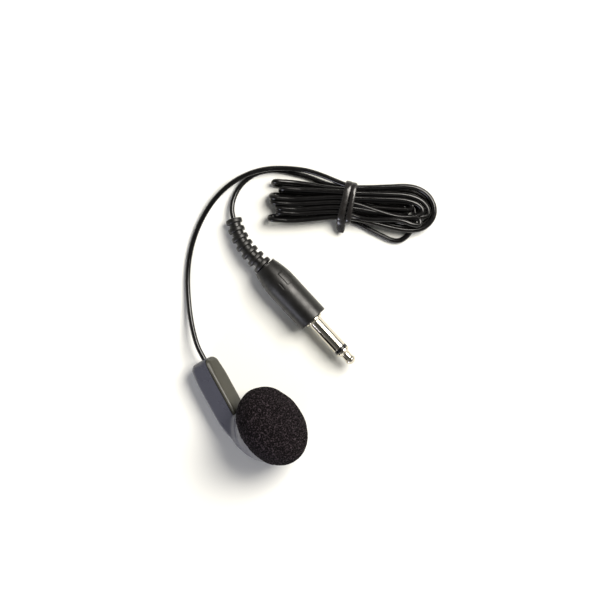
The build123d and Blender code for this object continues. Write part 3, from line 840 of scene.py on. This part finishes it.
barrel_points, barrel_faces = turned_points(barrel_outline(), PLUG, rounds=256, closed=True)
local = PLUG.into(barrel_points)
turn, radius = np.arctan2(local[:, 1], local[:, 0]), np.hypot(local[:, 0], local[:, 1])
rise = np.zeros(len(local))
for (start, end, middle, spread), height in ((PANEL, PANEL_RISE), (SLOT_MARK, -SLOT_DEPTH)):
    rise += height * (window(local[:, 2], (start + end) / 2, (end - start) / 2, EDGE_ALONG)
                      * window(turn, middle, spread, EDGE_ROUND))
rise *= radius > BARREL_BACK_R - 0.3
local[:, :2] *= (1 + rise / np.maximum(radius, 1))[:, None]
barrel = put_on(to_object("plug_grip", PLUG.out(local), barrel_faces, sharp=40), plug_pvc)

# %% [markdown]
# The strain relief is seven soft ribs on a thin core that bends with the cord.  Ribs along a
# path are work for Geometry Nodes: the path is resampled to one point for each rib, a rib is
# set on each point and turned to the path's direction, and the core is the path given
# thickness.
# %% Strain relief with Geometry Nodes
RELIEF_ROUTE = [(18.75, 28.78, 3.85), (17.35, 32.6, 3.6), (16.72, 36.9, 3.0),
                (16.95, 40.2, 2.45), (17.68, 42.83, 2.1)]
RIB_COUNT, RIB_THICK, RIB_R, CORE_R = 7, 1.15, 2.17, 1.45
RIB_SIZE = 1.09             # size of the rib next to the barrel, as a share of RIB_R
RIB_GROWTH = 0.028          # each rib is smaller than the one before it by this share
FIRST_RIB, LAST_RIB = 0.06, 0.045       # shares of the path left free at its two ends


def rib_mesh():
    """One rib: a thick disc with rounded edges."""
    half = RIB_THICK / 2
    outline = rounded([(0, -half), (RIB_R, -half), (RIB_R, half), (0, half)], 0.3, steps=4)
    plain = Placed((0, 0, 0), (0, 0, 1), (1, 0, 0))
    points, faces = turned_points(outline, plain, rounds=40)
    return to_object("rib", points, faces, sharp=60)


def ribbed_path(rib, finish):
    """A node tree that sets ribs along a curve, over a core of its own."""
    tree = bpy.data.node_groups.new("ribbed_path", "GeometryNodeTree")
    face = tree.interface
    face.new_socket("Curve", in_out="INPUT", socket_type="NodeSocketGeometry")
    face.new_socket("Ribs", in_out="INPUT", socket_type="NodeSocketInt")
    for name in ("Core radius", "First size", "Growth", "Free start", "Free end"):
        face.new_socket(name, in_out="INPUT", socket_type="NodeSocketFloat")
    face.new_socket("Mesh", in_out="OUTPUT", socket_type="NodeSocketGeometry")
    given = add_node(tree, "NodeGroupInput").outputs
    free = add_node(tree, "ShaderNodeMath", {0: 1.0, 1: given["Free end"]}, operation="SUBTRACT")
    trimmed = add_node(tree, "GeometryNodeTrimCurve", {
        "Curve": given["Curve"], "Start": given["Free start"], "End": free.outputs[0]})
    stations = add_node(tree, "GeometryNodeResampleCurve", {
        "Curve": trimmed.outputs[0], "Count": given["Ribs"]})
    tangent = add_node(tree, "GeometryNodeInputTangent")
    heading = add_node(tree, "FunctionNodeAlignRotationToVector", {
        "Vector": tangent.outputs[0]}, axis="Z")
    order = add_node(tree, "GeometryNodeInputIndex")
    shrink = add_node(tree, "ShaderNodeMath", {
        0: order.outputs[0], 1: given["Growth"]}, operation="MULTIPLY")
    size = add_node(tree, "ShaderNodeMath", {0: given["First size"], 1: shrink.outputs[0]},
                    operation="SUBTRACT")
    flat = add_node(tree, "ShaderNodeCombineXYZ", {
        "X": size.outputs[0], "Y": size.outputs[0], "Z": 1.0})
    piece = add_node(tree, "GeometryNodeObjectInfo", {"Object": rib})
    ribs = add_node(tree, "GeometryNodeInstanceOnPoints", {
        "Points": stations.outputs[0], "Instance": piece.outputs["Geometry"],
        "Rotation": heading.outputs[0], "Scale": flat.outputs[0]})
    circle = add_node(tree, "GeometryNodeCurvePrimitiveCircle", {
        "Resolution": 32, "Radius": given["Core radius"]})
    core = add_node(tree, "GeometryNodeCurveToMesh", {
        "Curve": given["Curve"], "Profile Curve": circle.outputs[0], "Fill Caps": True})
    both = add_node(tree, "GeometryNodeJoinGeometry", {"Geometry": ribs.outputs[0]})
    tree.links.new(core.outputs[0], both.inputs[0])
    real = add_node(tree, "GeometryNodeRealizeInstances", {"Geometry": both.outputs[0]})
    painted = add_node(tree, "GeometryNodeSetMaterial", {
        "Geometry": real.outputs[0], "Material": finish})
    shaded = add_node(tree, "GeometryNodeSetShadeSmooth", {"Geometry": painted.outputs[0]})
    add_node(tree, "NodeGroupOutput", {"Mesh": shaded.outputs[0]})
    return tree


rib = rib_mesh()
relief = nurbs_curve("ribbed_relief", RELIEF_ROUTE, 0, along=16)
ribs = relief.modifiers.new("ribs", "NODES")
ribs.node_group = ribbed_path(rib, plug_pvc)
sizes = {"Ribs": RIB_COUNT, "Core radius": CORE_R * MM, "First size": RIB_SIZE,
         "Growth": RIB_GROWTH, "Free start": FIRST_RIB, "Free end": LAST_RIB}
for socket in ribs.node_group.interface.items_tree:
    if socket.in_out == "INPUT" and socket.name in sizes:
        ribs[socket.identifier] = sizes[socket.name]
bpy.context.view_layer.update()
relief_mesh = bpy.data.meshes.new_from_object(
    relief.evaluated_get(bpy.context.evaluated_depsgraph_get()))
for spare in (relief, rib):
    bpy.data.objects.remove(spare)
relief = bpy.data.objects.new("ribbed_relief", relief_mesh)
relief_mesh.set_sharp_from_angle(angle=radians(60))
scene.collection.objects.link(relief)
put_on(relief, plug_pvc)
print("relief:", len(relief_mesh.polygons), "faces")

# %% [markdown]
# The contacts are turned brass under polished nickel.  Nickel is a warm white metal; its
# mirror is sharp, with only the finest rings left by the lathe.  The black ring between
# the contacts is acetal.
# %% Finishes of the contacts


def along_axis(tree, axis):
    """The distance along a part's axis, for marks that run round it."""
    place = add_node(tree, "ShaderNodeTexCoord")
    dot = add_node(tree, "ShaderNodeVectorMath", {
        0: place.outputs["Object"], 1: tuple(axis)}, operation="DOT_PRODUCT")
    return dot.outputs["Value"]


def turning_rings(tree, shader, axis, pitch_mm, depth_mm):
    """Fine uneven rings round a turned part."""
    rings = add_node(tree, "ShaderNodeTexNoise", {
        "W": along_axis(tree, axis), "Scale": 1 / (pitch_mm * MM), "Detail": 3.0},
        noise_dimensions="1D")
    bump = add_node(tree, "ShaderNodeBump", {
        "Height": rings.outputs["Fac"], "Distance": depth_mm * MM, "Strength": 0.5})
    tree.links.new(bump.outputs["Normal"], shader.inputs["Normal"])


nickel, tree, shader = finish_of("bright_nickel_plate", "#d8d2c4", 0.13, metallic=1.0)
turning_rings(tree, shader, PLUG.z, 0.35, 0.004)
acetal, tree, shader = finish_of("black_acetal", "#101010", 0.25, ior=1.48)
grain(tree, shader, 0.3, 0.004, 0.4)

# %% Plug contacts
SLEEVE_LINE = [(1.2, -2.6), (2.2, -2.6), (2.2, -0.05), (2.3, 0.02), (2.3, 0.4), (2.2, 0.5),
               (1.85, 0.62), (1.75, 0.8), (1.75, 9.4), (1.7, 9.5), (1.2, 9.5)]
TIP_LINE = [(0, -5.4), (0.7, -5.4), (0.7, 10.3), (1.65, 10.3), (1.75, 10.4), (1.75, 10.8),
            (1.65, 10.92), (1.2, 11.3), (1.13, 11.5), (1.1, 12.2), (1.14, 12.9), (1.28, 13.2),
            (1.33, 13.4), (1.26, 13.7), (1.0, 13.98), (0.62, 14.3), (0.4, 14.4), (0, 14.4)]
RING_LINE = [(0.7, -3.2), (1.2, -3.2), (1.2, 9.5), (1.73, 9.5), (1.73, 10.3), (0.7, 10.3)]


def contact(name, line, finish, node, slot_name, bored):
    """A turned part of the plug that stands for its CAD node."""
    outline = rounded(line, 0.05 if bored else 0.06, steps=3, closed=bored)
    points, faces = turned_points(outline, PLUG, rounds=128, closed=bored)
    obj = put_on(to_object(name, points, faces), finish)
    hand_over(obj, "earpiece", slot_name, node)
    return obj


sleeve = contact("plug_sleeve_contact", SLEEVE_LINE, nickel, "plug_sleeve", "nickel_plate",
                 True)
tip = contact("plug_tip_contact", TIP_LINE, nickel, "plug_tip", "nickel_plate", False)
ring = contact("plug_ring_insulator", RING_LINE, acetal, "plug_insulator",
               "insulator_plastic", True)

# %% [markdown]
# A tie holds the hank.  It is a flat PVC strip, wound twice side by side and cut off close:
# the strip is a rounded flat section carried round the bundle, and the cut end stands out
# below it.  Its gloss is higher than the cord's, because the strip is calendered.
# %% Finish of the tie
tie_pvc, tree, shader = finish_of("calendered_PVC_strip", "#1b1918", 0.2, ior=1.52, coat=0.3)
wear(tree, shader, 0.18, 0.34, 1.5)
grain(tree, shader, 0.8, 0.03, 0.6)

# %% Tie band
TIE_HEADING = HANK_HEADING - TIE_SLANT
TIE_MIDDLE = 2.4            # mm above the table
TIE = Placed(on_table(TIE_U, BUNDLE_V, TIE_MIDDLE),
             (cos(TIE_HEADING), sin(TIE_HEADING), 0), (-sin(TIE_HEADING), cos(TIE_HEADING), 0))
BAND_A, BAND_B, BAND_SQUARE = 4.85, 1.95, 2.6
BAND_THICK = 0.8
BAND_STEPS, SECTION_STEPS = 72, 20


def strip_along(path, widths, shifts, closed):
    """A flat strip with rounded edges along a path of (across, up) in the tie's frame."""
    path = np.array(path, float)
    count, ring = len(path), SECTION_STEPS
    before = np.roll(path, 1, axis=0) if closed else np.vstack([path[:1], path[:-1]])
    after = np.roll(path, -1, axis=0) if closed else np.vstack([path[1:], path[-1:]])
    run = (after - before) / np.linalg.norm(after - before, axis=1)[:, None]
    out = np.stack([-run[:, 1], run[:, 0]], 1)
    points, faces = [], []
    for number in range(count):
        for a in np.arange(ring) * 2 * pi / ring:
            c, s = cos(a), sin(a)
            thick = np.sign(s) * abs(s) ** 0.85 * BAND_THICK / 2
            wide = np.sign(c) * abs(c) ** 0.6 * widths[number] / 2
            across, up = path[number] + out[number] * thick
            points.append((across, up, shifts[number] + wide))
    for number in range(count if closed else count - 1):
        after_ring = (number + 1) % count
        for a in range(ring):
            b = (a + 1) % ring
            faces.append((number * ring + a, number * ring + b,
                          after_ring * ring + b, after_ring * ring + a))
    if not closed:
        faces += [tuple(range(ring)), tuple(range((count - 1) * ring, count * ring))]
    return points, faces


def band(shift, width, wander, grow):
    """One turn of the strip round the bundle."""
    path, widths, shifts = [], [], []
    for a in np.arange(BAND_STEPS) * 2 * pi / BAND_STEPS:
        c, s = cos(a), sin(a)
        path.append(((BAND_A + grow) * np.sign(c) * abs(c) ** (2 / BAND_SQUARE),
                     BAND_B * np.sign(s) * abs(s) ** (2 / BAND_SQUARE)))
        widths.append(width * (1 + 0.05 * cos(2 * a + shift)))
        shifts.append(shift + wander * cos(a + 0.4))
    return strip_along(path, widths, shifts, closed=True)


def joined(name, parts):
    """Several point and face lists as one object, placed in the tie's frame."""
    points, faces = [], []
    for some_points, some_faces in parts:
        start = len(points)
        points += list(some_points)
        faces += [tuple(start + index for index in face) for face in some_faces]
    return to_object(name, TIE.out(points), faces, sharp=60)


tie = put_on(joined("twist_tie", [
    band(-0.62, 1.75, 0.12, 0.05),
    band(0.98, 1.35, -0.18, -0.02),
    strip_along([(-4.2, 1.2), (-5.0, 0.9), (-5.8, 0.2), (-6.6, -0.5), (-7.3, -1.0)],
                [2.0, 2.2, 2.3, 2.1, 1.6], [-0.5, -0.4, -0.3, -0.15, 0.0], closed=False),
    strip_along([(-4.3, -0.6), (-5.2, -0.8), (-6.1, -1.2), (-7.0, -1.6)],
                [1.6, 1.9, 1.9, 1.3], [-0.3, -0.25, -0.15, -0.1], closed=False)]), tie_pvc)

hand_over(barrel, "earpiece", "plug_pvc", "plug_barrel")
hand_over(relief, "earpiece", "plug_pvc", "strain_relief")
hand_over(tie, "earpiece", "tie_pvc", "tie_band")

# %% [markdown]
# The pieces inside keep their CAD shape and get real finishes, because the front shows when
# the foam is pulled off and the rest when someone opens the part.  Each material below is
# what a maker would use for that piece.
# %% Finishes of the inner pieces


def woven(tree, shader, thread_mm, depth_mm):
    """A plain weave: two sets of threads across each other.

    A wave texture of scale 1 repeats about every 0.31 units, hence that factor.
    """
    place = add_node(tree, "ShaderNodeTexCoord")
    threads = [add_node(tree, "ShaderNodeTexWave", {
        "Vector": place.outputs["Object"], "Scale": 0.31 / (thread_mm * MM)},
        bands_direction=way) for way in ("Y", "Z")]
    cross = add_node(tree, "ShaderNodeMath", {
        0: threads[0].outputs["Fac"], 1: threads[1].outputs["Fac"]}, operation="MAXIMUM")
    bump = add_node(tree, "ShaderNodeBump", {
        "Height": cross.outputs[0], "Distance": depth_mm * MM, "Strength": 1.0})
    tree.links.new(bump.outputs["Normal"], shader.inputs["Normal"])


def simple(name, colour, roughness, grain_mm, grain_depth, **more_settings):
    """A moulded or cast finish that differs from its neighbours only in its numbers."""
    material, tree, shader = finish_of(name, colour, roughness, **more_settings)
    grain(tree, shader, grain_mm, grain_depth, 0.6)
    return material


cloth, tree, shader = finish_of("woven_black_nylon", "#161616", 0.85)
woven(tree, shader, 0.18, 0.03)
film, _, shader = finish_of("clear_polyester_film", "#cfc29a", 0.15, ior=1.64)
shader.inputs["Transmission Weight"].default_value = 0.5
copper, tree, shader = finish_of("enamelled_copper_wire", "#b5652f", 0.25, metallic=1.0)
turning_rings(tree, shader, HEAD.z, 0.12, 0.02)
board, tree, shader = finish_of("green_glass_epoxy", "#1f5a2f", 0.35, ior=1.55)
woven(tree, shader, 0.3, 0.01)
magnet_plate, tree, shader = finish_of("nickel_plated_neodymium", "#b9b8b4", 0.2, metallic=1.0)
wear(tree, shader, 0.15, 0.3, 1.0)
MADE_OF = [
    (simple("black_ABS", "#1a1a1c", 0.45, 0.3, 0.01), ["front_cap"]),
    (simple("black_painted_steel", "#242427", 0.4, 0.25, 0.015), ["grille"]),
    (simple("stamped_brass", "#c39a4e", 0.3, 0.4, 0.008, metallic=1.0),
     ["diaphragm_ring", "tip_lug", "sleeve_lug"]),
    (simple("zinc_plated_steel", "#a7a9ac", 0.32, 0.3, 0.008, metallic=1.0),
     ["pole_plate", "yoke"]),
    (simple("dark_ABS", "#1f1f20", 0.5, 0.3, 0.012), ["driver_frame"]),
    (simple("felted_acoustic_paper", "#cfc6ad", 0.95, 0.15, 0.04), ["rear_damping_paper"]),
    (simple("tin_solder", "#b3b4b6", 0.28, 0.5, 0.03, metallic=1.0),
     ["solder_dots", "plug_solder"]),
    (simple("red_PVC_insulation", "#a8201a", 0.4, 0.5, 0.008),
     ["signal_wire", "plug_signal_wire"]),
    (simple("black_PVC_insulation", "#121212", 0.4, 0.5, 0.008),
     ["return_wire", "plug_return_wire"]),
    (simple("natural_polyethylene", "#bdbcb2", 0.5, 0.6, 0.01), ["inner_mould"]),
    (cloth, ["damping_cloth"]), (film, ["diaphragm"]), (copper, ["voice_coil"]),
    (board, ["terminal_board"]), (magnet_plate, ["magnet"]), (acetal, ["rear_washer"]),
    (cord_pvc, ["cord_knot"])]
for finish, node_names in MADE_OF:
    for node in node_names:
        put_on(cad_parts[node], finish)
print("CAD nodes finished:", sum(len(node_names) for _, node_names in MADE_OF))
